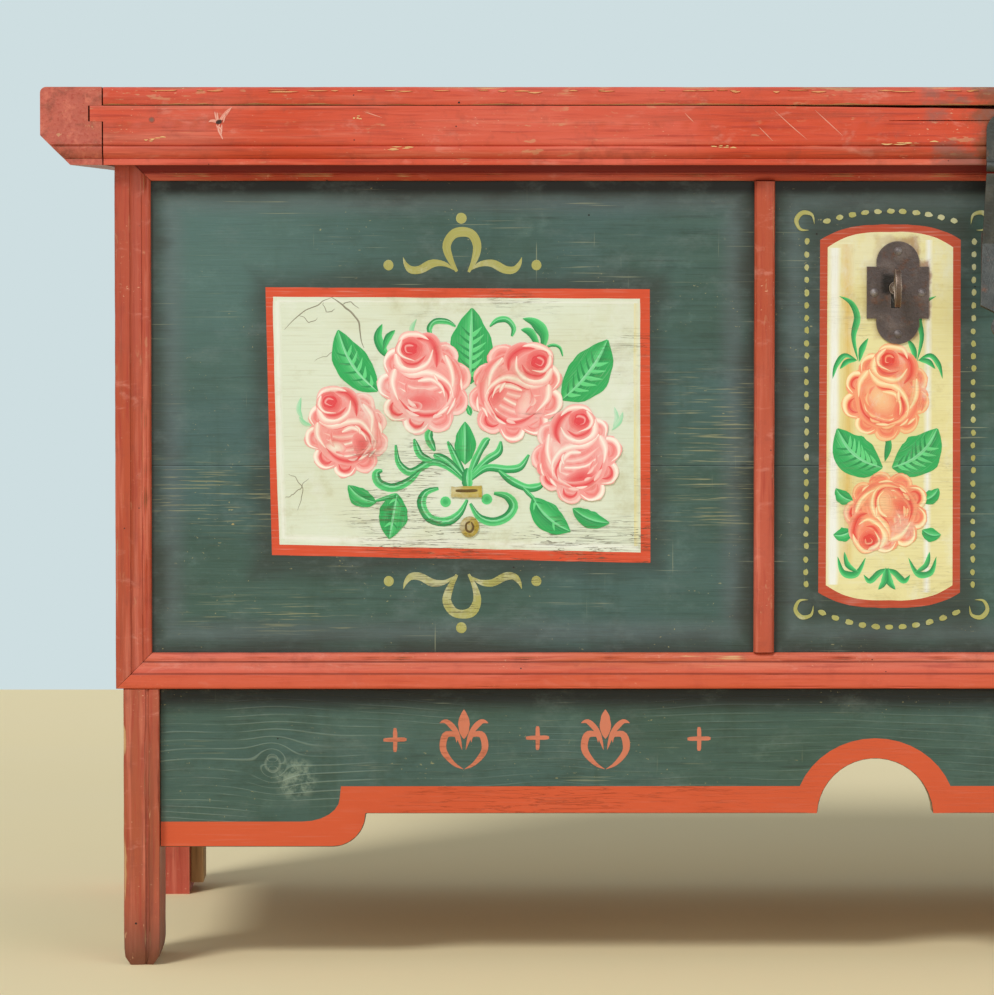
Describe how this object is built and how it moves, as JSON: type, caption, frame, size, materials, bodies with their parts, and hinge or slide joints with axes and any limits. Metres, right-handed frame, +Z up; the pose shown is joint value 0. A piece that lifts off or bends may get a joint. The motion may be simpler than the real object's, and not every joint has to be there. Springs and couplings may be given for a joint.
{
  "type": "painted dowry chest",
  "caption": "Long lidded chest on a shaped stand, with painted flower panels, framed front, hinged lid, hanging hasp and turning key.",
  "frame": {"origin": "floor level under the middle of the bounding box", "axes": "+X along the chest's length to the right of someone facing its front, +Y from the front to the back, +Z up"},
  "size_m": [1.565, 0.6702, 0.719],
  "materials": {
    "painted_red_wood": "worn vermilion paint on pine",
    "painted_green_wood": "worn dark green paint on pine",
    "bare_pine": "aged bare pine",
    "forged_iron": "dark forged iron with some rust"
  },
  "bodies": {
    "case": {"frame_left": "painted_red_wood", "frame_right": "painted_red_wood", "frame_top": "painted_red_wood", "frame_bottom": "painted_red_wood", "muntin_left": "painted_red_wood", "muntin_right": "painted_red_wood", "leg_front_left": "painted_red_wood", "leg_front_right": "painted_red_wood", "leg_rear_left": "painted_red_wood", "leg_rear_right": "painted_red_wood", "stand_pegs": "painted_red_wood", "apron_left": "painted_red_wood", "apron_right": "painted_red_wood", "front_board_upper": "painted_green_wood", "front_board_lower": "painted_green_wood", "end_board_left_lower": "painted_green_wood", "end_board_left_upper": "painted_green_wood", "end_board_right_lower": "painted_green_wood", "end_board_right_upper": "painted_green_wood", "apron_front": "painted_green_wood", "back_board_upper": "bare_pine", "back_board_lower": "bare_pine", "floor_board_front": "bare_pine", "floor_board_middle": "bare_pine", "floor_board_back": "bare_pine", "till_side": "bare_pine", "till_bottom": "bare_pine", "apron_back": "bare_pine", "floor_ledgers": "bare_pine", "corner_blocks": "bare_pine", "hinge_leaf_left": "forged_iron", "hinge_leaf_right": "forged_iron", "hinge_pins": "forged_iron", "leaf_nails": "forged_iron", "slot_plate": "forged_iron", "slot_tacks": "forged_iron", "escutcheon": "forged_iron", "escutcheon_pins": "forged_iron", "lock_plate": "forged_iron", "lock_cover": "forged_iron", "lock_tacks": "forged_iron", "bolt_keepers": "forged_iron", "lock_spring": "forged_iron"},
    "lid": {"lid_board_front": "painted_red_wood", "lid_board_middle": "painted_red_wood", "lid_board_back": "painted_red_wood", "lid_front_rail": "painted_red_wood", "lid_cleat_left": "painted_red_wood", "lid_cleat_right": "painted_red_wood", "hinge_strap_left": "forged_iron", "hinge_strap_right": "forged_iron", "strap_nails": "forged_iron", "hasp_plate": "forged_iron", "hasp_bolts": "forged_iron", "hasp_pin": "forged_iron"},
    "hasp": {"hasp_strap": "forged_iron", "hasp_staple": "forged_iron", "hasp_rivets": "forged_iron"},
    "lock_bolt": {"lock_bolt": "forged_iron"},
    "key": {"key": "forged_iron"}
  },
  "joints": [
    {"name": "lid_hinge", "type": "hinge", "parent": "case", "child": "lid", "pos_m": [0, 0.3286, 0.689], "axis": [-1, 0, 0], "range_deg": [0, 100]},
    {"name": "hasp_swing", "type": "hinge", "parent": "lid", "child": "hasp", "pos_m": [0, -0.3069, 0.6548], "axis": [-1, 0, 0], "range_deg": [-22, 140]},
    {"name": "key_turn", "type": "hinge", "parent": "case", "child": "key", "pos_m": [-0.086, -0.2574, 0.5555], "axis": [0, -1, 0], "range_deg": [0, 60]},
    {"name": "bolt_throw", "type": "slide", "parent": "case", "child": "lock_bolt", "axis": [1, 0, 0], "range_m": [0, 0.01225]}
  ],
  "couplings": [
    {"joint": "key_turn", "follows": "bolt_throw", "rad_per_m": 85.47}
  ]
}
